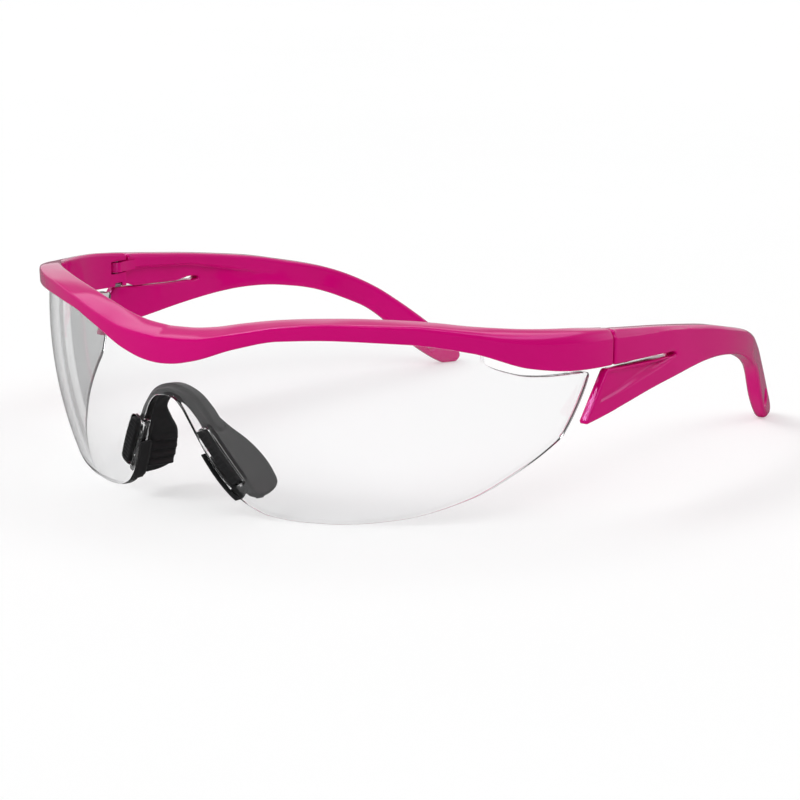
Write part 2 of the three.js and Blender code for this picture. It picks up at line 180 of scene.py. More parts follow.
def spline(points):
    """A Catmull-Rom curve through the points, for a parameter from 0 to 1."""
    points = np.array(points, float)
    ends = np.vstack([2 * points[0] - points[1], points, 2 * points[-1] - points[-2]])

    def at(share):
        place = np.clip(np.asarray(share, float), 0, 1) * (len(points) - 1)
        i = np.minimum(place.astype(int), len(points) - 2)
        w = (place - i)[..., None]
        p0, p1, p2, p3 = (ends[i + k] for k in range(4))
        m1, m2 = (p2 - p0) / 2, (p3 - p1) / 2
        return p1 + w * (m1 + w * (3 * (p2 - p1) - 2 * m1 - m2 + w * (2 * (p1 - p2) + m1 + m2)))
    return at


bar_bottom_z = smooth_curve((-8, 32.85), (-3, 31.55), (0, 31.3), (3, 31.55), (8, 32.85), (16, 36.2),
                            (24, 38.5), (34, 39.2), (46, 38.75), (58, 36.7), (70, 32.7), (81, 31.0),
                            (93, 30.4))
bar_ridge_z = smooth_curve((0, 37.0), (8, 37.6), (16, 39.5), (24, 41.5), (34, 42.6), (46, 42.5),
                           (58, 41.1), (64, 40.1), (70, 39.4), (76, 38.95), (82, 38.6), (88, 38.1),
                           (93, 37.6))
bar_top_z = smooth_curve((0, 38.4), (5, 38.7), (10, 39.45), (16, 40.85), (23, 42.1), (30, 42.75),
                         (38, 43.05), (46, 42.8), (52, 42.3), (58, 41.5), (64, 40.85), (70, 40.2),
                         (76, 39.65), (82, 39.1), (88, 38.35), (93, 37.7))
lens_bottom_z = smooth_curve((0, 24.3), (1.8, 23.9), (3.4, 22.3), (4.8, 19.6), (6.2, 16.4), (7.6, 13.2),
                             (10, 8.4), (12.7, 4.6), (15.6, 2.2), (19.5, 0.7), (26, 0.05), (31, 0.05),
                             (44, 1.3), (60, 5.7), (70, 10.6), (78, 15.2), (80.6, 17.0), (82, 19.0),
                             (85.2, 24.6), (86.6, 27.5), (LENS_END_ANGLE, 29.2))
lens_vent_z = smooth_curve((61, 34.6), (61.6, 33.8), (65.8, 32.0), (70.5, 30.8), (76, 30.3),
                           (85.4, 29.9), (86.8, 29.6), (LENS_END_ANGLE, 29.4))
crease_share = smooth_curve((0, 0.90), (36, 0.90), (52, 0.84), (70, 0.79), (93, 0.76))
arm_centre_x = smooth_curve((-12, 67.9), (0, 67.9), (20, 67.0), (32, 65.8), (45, 63.9), (58, 60.8),
                            (65, 58.5), (72, 55.3), (80, 51.4), (90, 46.8), (96, 44.2))

ARM_TOP = ((0.2, 37.6), (5, 37.05), (10, 36.4), (20, 35.1), (30, 33.6), (40, 31.9), (48, 30.1),
           (56, 28.2), (62, 26.45), (68, 24.0), (74, 20.6), (79, 16.9), (83.4, 13.3), (87.4, 9.8),
           (90.8, 6.6), (93.2, 4.2), (94.4, 2.5), (94.5, 1.1), (93.6, 0))
ARM_BOTTOM = ((0.2, 30.5), (5, 30.25), (10, 30.05), (20, 29.5), (29, 27.2), (37, 24.85), (45, 24.3),
              (52, 23.25), (57.5, 21.95), (62.5, 20.2), (67.5, 17.95), (71.5, 15.8), (74.9, 13.1),
              (77.4, 10.5), (79.9, 7.8), (82.9, 5.1), (86.0, 2.7), (88.7, 0.9), (90.4, 0))
WING_UNDERSIDE = ((52, 23.25), (47, 24.1), (42, 24.6), (36, 24.75), (30, 24.5), (24, 24.05), (18, 23.5),
                  (12, 22.8), (6.5, 22.0), (0.8, 21.1), (-4.6, 20.3))
WING_FRONT_LOW = (-9.8, 19.65)
WING_FRONT_TOP = (-2.2, 30.0)
WING_TOP = ((3, 29.62), (7.5, 29.32), (11.5, 29.08), (16, 28.85), (20, 28.72))
SLIT_END = ((22.0, 28.5), (23.1, 28.62), (23.55, 28.88), (23.2, 29.18), (22.1, 29.38))
ARM_UNDERSIDE = ((20, 29.5), (14.8, 29.78), (10, 30.05), (5, 30.25))
PANEL_FRONT = ((-2.0, 29.6), (-4.9, 23.4))
panel_rim_z = smooth_curve((-5, 23.4), (2, 24.3), (9.2, 25.55), (16.8, 26.75), (20.8, 27.6), (23.3, 28.6))
panel_top_z = smooth_curve((-2.2, 30.0), (3, 29.62), (11.5, 29.08), (17, 28.82), (23.3, 28.75))

SADDLE_FRONT = ((0, 24.8), (4.0, 23.7), (6.8, 21.2), (8.8, 18.2), (10.8, 15.0), (12.7, 11.8),
                (14.6, 8.6), (15.9, 6.0), (16.7, 4.2))
SADDLE_REAR = ((0, -51.2, 24.4), (4.0, -51.0, 23.3), (6.7, -50.0, 20.4), (8.2, -47.2, 17.2),
               (9.9, -43.8, 14.0), (12.0, -41.7, 10.8), (13.7, -40.6, 7.8), (15.0, -40.7, 5.2),
               (16.0, -44.8, 3.6))


def bar_depth(angle):
    return lerp(BAR_DEPTH_CENTRE, BAR_DEPTH_HINGE, smoothstep(angle, 30, 80))


def wrap_point(angle, z, depth):
    """A point at an angle round the wrap, some depth inside the frame's outer wall."""
    a = np.radians(angle)
    nx = WRAP_DEPTH * np.sin(a)
    ny = -HALF_WIDTH * np.cos(a)
    length = np.hypot(nx, ny)
    x = HALF_WIDTH * np.sin(a) - depth * nx / length
    y = WRAP_CENTRE_Y - WRAP_DEPTH * np.cos(a) - depth * ny / length
    return np.stack(np.broadcast_arrays(x, y, z), axis=-1)


def lens_tuck(z):
    drop = np.asarray(z, float) - LENS_UPRIGHT_Z
    return LENS_VERTICAL_RADIUS - np.sqrt(LENS_VERTICAL_RADIUS ** 2 - drop ** 2)


def lens_point(angle, z, depth):
    return wrap_point(angle, z, LENS_SETBACK + lens_tuck(z) + depth)


def lens_angle_at_x(x, z, depth):
    angle = np.degrees(np.arcsin(np.asarray(x, float) / HALF_WIDTH))
    for _ in range(5):
        angle = angle + np.degrees((x - lens_point(angle, z, depth)[..., 0]) / HALF_WIDTH)
    return angle


# ---- meshes

def linked(name, data):
    obj = bpy.data.objects.new(name, data)
    bpy.context.scene.collection.objects.link(obj)
    return obj


def new_object(name, points, faces, material, sharp_angle=40):
    """A smooth-shaded object from points in the modelling frame, in millimetres."""
    placed = (np.asarray(points, float) + (0, SEAM_SHIFT, 0)) * MM
    mesh = bpy.data.meshes.new(name)
    mesh.from_pydata(placed.tolist(), [], [list(map(int, f)) for f in faces])
    mesh.validate()
    obj = linked(name, mesh)
    mesh.materials.append(material)
    smooth(obj, sharp_angle)
    return obj


def smooth(obj, sharp_angle=40):
    obj.data.shade_smooth()
    obj.data.set_sharp_from_angle(angle=math.radians(sharp_angle))


def bake_modifiers(obj):
    graph = bpy.context.evaluated_depsgraph_get()
    mesh = bpy.data.meshes.new_from_object(obj.evaluated_get(graph), depsgraph=graph)
    obj.modifiers.clear()
    obj.data = mesh


def combine(obj, other, operation):
    """Adds another object to this one, or cuts it away, and removes the other."""
    step = obj.modifiers.new(operation.lower(), "BOOLEAN")
    step.object = other
    step.operation = operation
    step.solver = "EXACT"
    bake_modifiers(obj)
    bpy.data.objects.remove(other)
    smooth(obj)


def mirror_mesh(mesh):
    mesh.transform(Matrix.Diagonal((-1, 1, 1, 1)))
    mesh.flip_normals()


def mirrored(obj, name):
    copy = linked(name, obj.data.copy())
    mirror_mesh(copy.data)
    smooth(copy)
    return copy


def turned_out(points, faces):
    """The faces, all turned round if the closed surface they make is inside out."""
    points = np.asarray(points, float)
    volume = 0.0
    for face in faces:
        a = points[face[0]]
        for i in range(1, len(face) - 1):
            volume += np.dot(a, np.cross(points[face[i]], points[face[i + 1]]))
    return faces if volume > 0 else [tuple(reversed(f)) for f in faces]


def loft(rings):
    """Points and faces of a closed surface through rings with equal point counts."""
    rings = np.asarray(rings, float)
    count, size = rings.shape[:2]
    faces = []
    for r in range(count - 1):
        for i in range(size):
            a = r * size + i
            b = r * size + (i + 1) % size
            faces.append((a, b, b + size, a + size))
    last = (count - 1) * size
    faces.append(tuple(reversed(range(size))))
    faces.append(tuple(range(last, last + size)))
    points = rings.reshape(-1, 3)
    return points, turned_out(points, faces)


def round_corners(points, radii, steps=5):
    """A polygon with each corner replaced by a short curve that starts its radius away."""
    points = np.asarray(points, float)
    out = []
    for i, corner in enumerate(points):
        before = points[i - 1] - corner
        after = points[(i + 1) % len(points)] - corner
        reach_before = min(radii[i], 0.48 * np.linalg.norm(before))
        reach_after = min(radii[i], 0.48 * np.linalg.norm(after))
        start = corner + before / max(np.linalg.norm(before), 1e-9) * reach_before
        end = corner + after / max(np.linalg.norm(after), 1e-9) * reach_after
        for t in np.linspace(0, 1, steps):
            out.append((1 - t) ** 2 * start + 2 * t * (1 - t) * corner + t ** 2 * end)
    return np.array(out)


def resampled(loop, spacing):
    closed = np.vstack([loop, loop[:1]])
    steps = np.linalg.norm(np.diff(closed, axis=0), axis=1)
    keep = np.concatenate([[True], steps > 1e-6])
    closed = closed[keep]
    along = np.concatenate([[0], np.cumsum(np.linalg.norm(np.diff(closed, axis=0), axis=1))])
    count = max(int(round(along[-1] / spacing)), 8)
    places = np.linspace(0, along[-1], count, endpoint=False)
    return np.stack([np.interp(places, along, closed[:, k]) for k in range(2)], axis=1)


def distance_to_lines(points, starts, ends):
    best = np.full(len(points), np.inf)
    span = ends - starts
    length2 = np.maximum((span ** 2).sum(1), 1e-12)
    for low in range(0, len(points), 2000):
        block = points[low:low + 2000, None, :]
        t = np.clip(((block - starts) * span).sum(2) / length2, 0, 1)
        gap = block - (starts + t[..., None] * span)
        best[low:low + 2000] = np.sqrt((gap ** 2).sum(2).min(1))
    return best


def inside_loops(points, loops):
    inside = np.zeros(len(points), bool)
    x, y = points[:, 0], points[:, 1]
    for loop in loops:
        following = np.roll(loop, -1, axis=0)
        for (x0, y0), (x1, y1) in zip(loop, following):
            if y0 == y1:
                continue
            crossing = (y0 > y) != (y1 > y)
            inside ^= crossing & (x < x0 + (y - y0) / (y1 - y0) * (x1 - x0))
    return inside


def loop_lines(loops):
    return np.vstack(loops), np.vstack([np.roll(loop, -1, axis=0) for loop in loops])


EDGE_RINGS = (0.03, 0.10, 0.22, 0.42, 0.75, 1.15, 1.65)


def plate(loops, edge_spacing, inner_spacing, surfaces, detail_points=(), rings=EDGE_RINGS):
    """Points and faces of a plate over a flat outline. The first loop is the outline and the others are
    holes. surfaces(points, distance to the edge) gives the two skins of the plate in space."""
    loops = [resampled(loop, edge_spacing) for loop in loops]
    starts, ends = loop_lines(loops)
    normals = (ends - starts)[:, ::-1] * (1, -1)
    normals /= np.linalg.norm(normals, axis=1)[:, None]
    near = []
    for ring in rings:
        shifted = np.vstack([starts + normals * ring, starts - normals * ring])
        shifted = shifted[inside_loops(shifted, loops)]
        near.append(shifted[distance_to_lines(shifted, starts, ends) > 0.96 * ring])
    low, high = starts.min(0), starts.max(0)
    grid = np.array([(x + (row % 2) * inner_spacing / 2, y)
                     for row, y in enumerate(np.arange(low[1], high[1], inner_spacing * 0.866))
                     for x in np.arange(low[0], high[0], inner_spacing)])
    grid = grid[inside_loops(grid, loops)]
    grid = grid[distance_to_lines(grid, starts, ends) > rings[-1] + 0.4 * inner_spacing]
    if len(detail_points):
        detail = np.asarray(detail_points, float)
        detail = detail[inside_loops(detail, loops)]
        detail = detail[distance_to_lines(detail, starts, ends) > rings[0]]
        near.append(detail)
        grid = grid[distance_to_lines(grid, detail, detail) > 0.45 * inner_spacing]
    flat = np.vstack([starts, *near, grid])
    edges = []
    first = 0
    for loop in loops:
        edges += [(first + i, first + (i + 1) % len(loop)) for i in range(len(loop))]
        first += len(loop)
    made = delaunay_2d_cdt([Vector(p) for p in flat], edges, [], 0, 1e-5)
    flat = np.array([tuple(p) for p in made[0]])
    triangles = np.array([f for f in made[2] if len(f) == 3])
    triangles = triangles[inside_loops(flat[triangles].mean(1), loops)]
    distance = distance_to_lines(flat, starts, ends)
    outer, inner = surfaces(flat, distance)
    count = len(flat)
    sides = dict.fromkeys(edge for a, b, c in triangles for edge in ((a, b), (b, c), (c, a)))
    rim = [edge for edge in sides if (edge[1], edge[0]) not in sides]
    faces = [tuple(t) for t in triangles] + [tuple(t[::-1] + count) for t in triangles]
    faces += [(b, a, a + count, b + count) for a, b in rim]
    points = np.vstack([outer, inner])
    used = np.zeros(len(points), bool)
    used[np.concatenate([np.array(f) for f in faces])] = True
    renumber = np.cumsum(used) - 1
    faces = [tuple(renumber[list(f)]) for f in faces]
    points = points[used]
    return points, turned_out(points, faces)


def edge_round(distance, radius):
    """How far a rounded edge has fallen away, at a distance in from the edge."""
    inward = np.clip(radius - distance, 0, radius)
    return radius - np.sqrt(np.maximum(radius ** 2 - inward ** 2, 0))


# ---- materials

def fill_ramp(ramp, stops):
    """Gives a colour ramp its stops, each a place from 0 to 1 and a colour."""
    while len(ramp.elements) < len(stops):
        ramp.elements.new(0.5)
    for element, (at, colour) in zip(ramp.elements, stops):
        element.position = at
        element.color = (*colour, 1)


class Shader:
    """A material's node tree, with short ways to add nodes."""

    def __init__(self, name):
        self.material = bpy.data.materials.new(name)
        self.material.use_nodes = True
        self.tree = self.material.node_tree
        self.tree.nodes.clear()
        self.output = self.tree.nodes.new("ShaderNodeOutputMaterial")
        coordinates = self.tree.nodes.new("ShaderNodeTexCoord")
        self.where = coordinates.outputs["Object"]
        self.normal = coordinates.outputs["Normal"]

    def add(self, kind, **values):
        node = self.tree.nodes.new(kind)
        for key, value in values.items():
            setattr(node, key, value)
        return node

    def link(self, source, target):
        self.tree.links.new(source, target)

    def noise(self, size_mm, detail=3.0, roughness=0.5):
        node = self.add("ShaderNodeTexNoise")
        node.inputs["Scale"].default_value = 1 / (size_mm * MM)
        node.inputs["Detail"].default_value = detail
        node.inputs["Roughness"].default_value = roughness
        self.link(self.where, node.inputs["Vector"])
        return node.outputs["Fac"]

    def remap(self, source, low, high, from_low=0.3, from_high=0.7):
        node = self.add("ShaderNodeMapRange")
        node.inputs["From Min"].default_value = from_low
        node.inputs["From Max"].default_value = from_high
        node.inputs["To Min"].default_value = low
        node.inputs["To Max"].default_value = high
        self.link(source, node.inputs["Value"])
        return node.outputs["Result"]

    def colours(self, source, *stops):
        node = self.add("ShaderNodeValToRGB")
        fill_ramp(node.color_ramp, stops)
        self.link(source, node.inputs["Fac"])
        return node.outputs["Color"]

    def bump(self, source, depth_mm, strength):
        node = self.add("ShaderNodeBump")
        node.inputs["Strength"].default_value = strength
        node.inputs["Distance"].default_value = depth_mm * MM
        self.link(source, node.inputs["Height"])
        return node.outputs["Normal"]

    def calculate(self, kind, operation, *operands):
        """A maths node on outputs of other nodes and on plain values."""
        node = self.add(kind, operation=operation)
        for target, operand in zip(node.inputs, operands):
            if isinstance(operand, bpy.types.NodeSocket):
                self.link(operand, target)
            else:
                target.default_value = operand
        return node

    def mixed(self, share, first, second):
        node = self.add("ShaderNodeMixShader")
        self.link(share, node.inputs[0])
        self.link(first.outputs[0], node.inputs[1])
        self.link(second.outputs[0], node.inputs[2])
        return node

    def principled(self, **values):
        node = self.add("ShaderNodeBsdfPrincipled")
        for key, value in values.items():
            node.inputs[key.replace("_", " ")].default_value = value
        return node

    def finish(self, node):
        self.link(node.outputs[0], self.output.inputs["Surface"])
        return self.material


def gloss_pink():
    s = Shader("gloss_pink")
    body = s.principled(IOR=1.52, Coat_Weight=0.35, Coat_IOR=1.38, Coat_Roughness=0.03,
                        Specular_Tint=(0.80, 0.33, 1.0, 1))
    flow = s.noise(22, detail=2)
    colour = s.colours(flow, (0.30, (0.66, 0.0011, 0.178)), (0.52, (0.69, 0.0013, 0.190)),
                       (0.75, (0.72, 0.0016, 0.203)))
    s.link(colour, body.inputs["Base Color"])
    s.link(s.remap(s.noise(3.5, detail=4), 0.07, 0.11), body.inputs["Roughness"])
    orange_peel = s.bump(s.noise(1.8, detail=1), 0.004, strength=0.35)
    s.link(orange_peel, body.inputs["Normal"])
    return s.finish(body)


# Painted reflections on the lens's inner wall: how slanting the view of it is, from 0 to 1, and the dark
# or light tone painted there in place of reflections.
INNER_WALL_PAINTED_REFLECTIONS = ((0.0, 1.0), (0.26, 1.0), (0.34, 0.34), (0.69, 0.22), (0.72, 1.0), (0.80, 1.0),
                    (0.825, 0.15), (0.93, 0.15), (0.97, 0.50), (1.0, 0.60))


def clear_polycarbonate():
    """Clear sheet. Its inner wall has painted reflections: dark and light bands in its base colour where
    the view is slanting, in place of the reflections of things round about."""
    s = Shader("clear_polycarbonate")
    glass = s.principled(IOR=1.56, Transmission_Weight=1.0)
    tint = s.colours(s.noise(45, detail=1), (0.35, (0.975, 0.982, 0.984)), (0.7, (0.985, 0.990, 0.992)))
    # Painted reflections: the base colour goes dark or light with how slanting the view is.
    slant = s.add("ShaderNodeLayerWeight")
    slant.inputs["Blend"].default_value = 0.5
    tones = [(at, (tone, tone, tone)) for at, tone in INNER_WALL_PAINTED_REFLECTIONS]
    bands = s.colours(slant.outputs["Facing"], *tones)

    centre = (0, (WRAP_CENTRE_Y + SEAM_SHIFT) * MM, LENS_MIDDLE_Z * MM)
    # Only the inner wall, whose faces turn towards the wrap's centre, gets the painted reflections.
    from_centre = s.calculate("ShaderNodeVectorMath", "SUBTRACT", s.where, centre).outputs["Vector"]
    facing_out = s.calculate("ShaderNodeVectorMath", "DOT_PRODUCT", from_centre, s.normal)
    inside = s.calculate("ShaderNodeMath", "LESS_THAN", facing_out.outputs["Value"], 0.0)
    with_painted_reflections = s.add("ShaderNodeMix", data_type="RGBA", blend_type="MULTIPLY")
    s.link(inside.outputs[0], with_painted_reflections.inputs[0])
    s.link(tint, with_painted_reflections.inputs[6])
    s.link(bands, with_painted_reflections.inputs[7])
    s.link(with_painted_reflections.outputs[2], glass.inputs["Base Color"])
    s.link(s.remap(s.noise(9, detail=5), 0.0, 0.012, 0.45, 0.8), glass.inputs["Roughness"])
    clear = s.add("ShaderNodeBsdfTransparent")
    clear.inputs["Color"].default_value = (0.93, 0.935, 0.94, 1)
    path = s.add("ShaderNodeLightPath")
    return s.finish(s.mixed(path.outputs["Is Shadow Ray"], glass, clear))


def black_rubber():
    s = Shader("black_rubber")
    body = s.principled(IOR=1.40)
    shade = s.colours(s.noise(6, detail=4), (0.3, (0.011, 0.011, 0.012)), (0.7, (0.017, 0.017, 0.018)))
    s.link(shade, body.inputs["Base Color"])
    s.link(s.remap(s.noise(1.2, detail=5), 0.40, 0.52), body.inputs["Roughness"])
    coarse = s.bump(s.noise(0.28, detail=2), 0.02, strength=0.25)
    s.link(coarse, body.inputs["Normal"])
    return s.finish(body)


def turned_steel():
    s = Shader("turned_steel")
    body = s.principled(Metallic=1.0)
    shade = s.colours(s.noise(0.6, detail=4), (0.3, (0.48, 0.49, 0.50)), (0.7, (0.62, 0.63, 0.65)))
    s.link(shade, body.inputs["Base Color"])
    s.link(s.remap(s.noise(0.25, detail=3), 0.26, 0.42), body.inputs["Roughness"])
    s.link(s.bump(s.noise(0.12, detail=2), 0.01, strength=0.4), body.inputs["Normal"])
    return s.finish(body)


FLOOR_GLOW = 0.42             # light from behind the paper, which keeps the shadows pale


def studio_floor():
    """White paper that polished surfaces see as a darker tone, so that their own colour stays deep."""
    s = Shader("studio_floor")
    body = s.principled(IOR=1.3, Emission_Color=(1, 1, 1, 1), Emission_Strength=FLOOR_GLOW)
    paint = s.colours(s.noise(260, detail=2), (0.3, (0.545, 0.545, 0.545)), (0.7, (0.555, 0.555, 0.555)))
    s.link(paint, body.inputs["Base Color"])
    s.link(s.remap(s.noise(40, detail=3), 0.82, 0.92), body.inputs["Roughness"])
    dark = s.principled(IOR=1.3, Roughness=0.9, Base_Color=(0.18, 0.18, 0.18, 1))
    path = s.add("ShaderNodeLightPath").outputs
    not_through = s.calculate("ShaderNodeMath", "SUBTRACT", 1.0, path["Is Transmission Ray"])
    mirror_ray = s.calculate("ShaderNodeMath", "MULTIPLY", path["Is Glossy Ray"], not_through.outputs[0])
    return s.finish(s.mixed(mirror_ray.outputs[0], body, dark))


PINK = gloss_pink()
CLEAR = clear_polycarbonate()
RUBBER = black_rubber()
STEEL = turned_steel()


# ---- brow frame

def bar_section(angle):
    """The bar's section, as (depth inside the outer wall, height), with the lens groove underneath."""
    side = abs(angle)
    low = float(bar_bottom_z(side))
    ridge = float(bar_ridge_z(side))
    depth = float(bar_depth(side))
    hinge = float(smoothstep(side, 38, 78))
    top = float(bar_top_z(side))
    crease = lerp(low, ridge, float(crease_share(side)))
    lean = lerp(0.35, 0.80, hinge)
    tuck = LENS_SETBACK + float(lens_tuck(low))
    groove_out = tuck - GROOVE_GAP
    groove_in = min(tuck + LENS_THICKNESS + GROOVE_GAP, depth - 0.45)
    rise = GROOVE_DEPTH * (1 - float(smoothstep(side, LENS_LEAVES_FRAME, LENS_LEAVES_FRAME + 0.6)))
    corners = [((0.15, low), 0.5), ((0, crease), lerp(1.0, 0.75, hinge)), ((lean, ridge), 1.5),
               ((0.6 * depth, lerp(ridge, top, 0.72) + 0.08), 0.9), ((depth - 0.05, top + 0.05), 0.8),
               ((depth, low), 0.4), ((groove_in, low), 0.12), ((groove_in, low + rise), 0.15),
               ((groove_out, low + rise), 0.15), ((groove_out, low), 0.12)]
    return round_corners([c for c, _ in corners], [r for _, r in corners], steps=8)


def shrunk(section, amount):
    """The section pulled in on every side, for the rounded ends of a bar."""
    centre = (section.min(0) + section.max(0)) / 2
    size = section.max(0) - section.min(0)
    return centre + (section - centre) * (1 - 2 * amount / size)


def hinge_ring(radius, z, count):
    turn = np.linspace(0, 2 * math.pi, count, endpoint=False)
    return np.column_stack([HINGE_X + radius * np.cos(turn), HINGE_Y + radius * np.sin(turn),
                            np.full(count, z)])


def hinge_cylinder(name, radius, low, high):
    return new_object(name, *loft([hinge_ring(radius, z, 40) for z in (low, high)]), PINK)


def block(name, low, high, rounding=0.0):
    """A box with its upright edges rounded."""
    corners = [(low[0], low[1]), (high[0], low[1]), (high[0], high[1]), (low[0], high[1])]
    outline = round_corners(corners, [max(rounding, 0.01)] * 4, steps=6)
    ring = [np.column_stack([outline, np.full(len(outline), z)]) for z in (low[2], high[2])]
    return new_object(name, *loft(ring), PINK)


def make_brow_frame():
    end_angle = 90 + math.degrees(math.asin((FRAME_END_Y - WRAP_CENTRE_Y) / WRAP_DEPTH))
    mm_per_degree = math.radians(1) * WRAP_DEPTH
    from_end = [0.0, 0.05, 0.12, 0.22, SEAM_ROUNDING]
    ends = [end_angle - t / mm_per_degree for t in from_end]
    middle = np.linspace(-ends[-1], ends[-1], 301)[1:-1]
    angles = [-a for a in ends] + list(middle) + ends[::-1]
    rings = []
    for angle in angles:
        distance = (end_angle - abs(angle)) * mm_per_degree
        section = shrunk(bar_section(angle), float(edge_round(distance, SEAM_ROUNDING)))
        rings.append(wrap_point(angle, section[:, 1], section[:, 0]))
    bar = new_object("brow_frame_gloss", *loft(rings), PINK)
    for side in (1, -1):
        pocket = block("pocket", (HINGE_X - 6, HINGE_Y - TONGUE_RADIUS - 0.7, TONGUE_LOW - 0.3),
                       (HINGE_X + TONGUE_RADIUS + 0.3, 2, TONGUE_HIGH + 0.3), rounding=0.5)
        hole = hinge_cylinder("hole", SCREW_HOLE_RADIUS, SCREW_HOLE_LOW, SCREW_HOLE_HIGH)
        shoulder = SCREW_LOW + SCREW_HEAD_HEIGHT
        seat = hinge_cylinder("seat", SCREW_HEAD_RADIUS + 0.3, SCREW_HOLE_LOW, shoulder + 0.3)
        for cutter in (pocket, hole, seat):
            if side < 0:
                mirror_mesh(cutter.data)
            combine(bar, cutter, "DIFFERENCE")
    return bar


# ---- lens

# Length along the lens at its middle height against the angle round the wrap.
ANGLE_TABLE = np.linspace(-92, 92, 3681)
ARC_POINTS = lens_point(ANGLE_TABLE, LENS_MIDDLE_Z, 0.0)
ARC_TABLE = np.concatenate([[0], np.cumsum(np.linalg.norm(np.diff(ARC_POINTS, axis=0), axis=1))])
ARC_TABLE = ARC_TABLE - ARC_TABLE[len(ARC_TABLE) // 2]


def arc_of(angle):
    return np.interp(angle, ANGLE_TABLE, ARC_TABLE)


def angle_of(arc):
    return np.interp(arc, ARC_TABLE, ANGLE_TABLE)


def slot_corners(half_width, lengthen):
    """Corners of the nose piece slot, as x and z on the lens."""
    top, bottom = np.array(SLOT_TOP), np.array(SLOT_BOTTOM)
    along = (bottom - top) / np.linalg.norm(bottom - top)
    across = half_width * np.array([-along[1], along[0]])
    top = top - along * lengthen
    bottom = bottom + along * lengthen
    return np.array([top - across, top + across, bottom + across, bottom - across])


def lens_outline():
    half = np.concatenate([np.linspace(0, 20, 90), np.linspace(20, LENS_LEAVES_FRAME, 80)[1:],
                           np.linspace(LENS_LEAVES_FRAME, LENS_END_ANGLE, 120)[1:]])
    upper = np.where(half <= LENS_LEAVES_FRAME, bar_bottom_z(half) + LENS_IN_GROOVE, lens_vent_z(half))
    lower = lens_bottom_z(half)
    right = np.column_stack([arc_of(half), lower])
    back = np.column_stack([arc_of(half), upper])[::-1]
    one_side = np.vstack([right, back])
    other = one_side[::-1] * (-1, 1)
    return np.vstack([one_side, other[1:-1]])


def make_lens():
    def surfaces(flat, distance):
        fall = edge_round(distance, LENS_EDGE_ROUNDING)
        angle = angle_of(flat[:, 0])
        return (lens_point(angle, flat[:, 1], fall),
                lens_point(angle, flat[:, 1], LENS_THICKNESS - fall))

    slot = round_corners(slot_corners(SLOT_WIDTH / 2, 0), [0.9] * 4, steps=8)
    slot = np.column_stack([arc_of(lens_angle_at_x(slot[:, 0], slot[:, 1], 1.0)), slot[:, 1]])
    loops = [lens_outline(), slot, slot * (-1, 1)]
    points, faces = plate(loops, 0.45, 1.1, surfaces, rings=(0.06, 0.16, 0.30, 0.5, 0.9))
    return new_object("lens_clear", points, faces, CLEAR, sharp_angle=60)


# ---- temples

def temple_outline():
    top = spline(ARM_TOP)(np.linspace(0, 1, 240))
    bottom = spline(ARM_BOTTOM)(np.linspace(1, 0, 300))
    bottom = bottom[bottom[:, 0] > WING_UNDERSIDE[0][0] + 0.4]
    under = spline(WING_UNDERSIDE)(np.linspace(0, 1, 60))
    wing = round_corners([under[-1], WING_FRONT_LOW, WING_FRONT_TOP, WING_TOP[0]],
                         [0.01, 1.3, 0.8, 0.01], steps=9)[9:-9]
    front = round_corners([ARM_UNDERSIDE[-1], ARM_BOTTOM[0], ARM_TOP[0], ARM_TOP[1]],
                          [0.01, 0.5, 0.5, 0.01], steps=7)[7:-7]
    slit = spline(np.vstack([WING_TOP, SLIT_END, ARM_UNDERSIDE]))(np.linspace(0, 1, 120))
    return np.vstack([top[4:], bottom, under, wing, slit, front])


def arm_station(flat):
    """For points seen from the side: how far they lie below the arm's top edge, along the line that
    joins its edges there, and the arm's height along that line."""
    shares = np.linspace(0, 1, 700)
    a = spline(ARM_TOP)(shares)
    b = spline(ARM_BOTTOM)(shares)
    down = b - a
    height = np.linalg.norm(down, axis=1)
    down = down / height[:, None]
    offset = flat[:, None, :] - a
    cross = down[:, 0] * offset[..., 1] - down[:, 1] * offset[..., 0]
    passed = cross > 0
    i = np.clip(np.argmin(passed, axis=1), 1, len(shares) - 1)
    i = np.where(passed.all(axis=1), len(shares) - 1, i)
    rows = np.arange(len(flat))
    c0, c1 = cross[rows, i - 1], cross[rows, i]
    t = np.clip(c0 / np.where(np.abs(c0 - c1) < 1e-9, 1, c0 - c1), 0, 1)
    start = lerp(a[i - 1], a[i], t[:, None])
    way = lerp(down[i - 1], down[i], t[:, None])
    return ((flat - start) * way).sum(1), lerp(height[i - 1], height[i], t)


def distance_past(flat, start, finish):
    """How far points lie to the left of a line through two others."""
    start, finish = np.array(start), np.array(finish)
    way = (finish - start) / np.linalg.norm(finish - start)
    return (flat[:, 1] - start[1]) * way[0] - (flat[:, 0] - start[0]) * way[1]


def panel_wall_width(y):
    return lerp(0.5, 1.5, smoothstep(y, -5, 12))


def panel_fall(flat):
    """How deep the wing's sunk panel is at each point: it is closed by a wall on all its three sides."""
    y, z = flat.T
    from_front = distance_past(flat, *PANEL_FRONT)
    above_rim = (z - panel_rim_z(y)) * 0.98
    below_top = panel_top_z(y) - z
    share = np.minimum(smoothstep(from_front, 0, 0.45), smoothstep(above_rim / panel_wall_width(y), 0, 1))
    share = np.minimum(share, smoothstep(below_top, 0.15, 1.0))
    depth = lerp(0.55, 1.0, smoothstep(y, -5, 14)) * RECESS_DEPTH
    return depth * share * (1 - smoothstep(y, 21.0, 23.4)) * (below_top > 0)


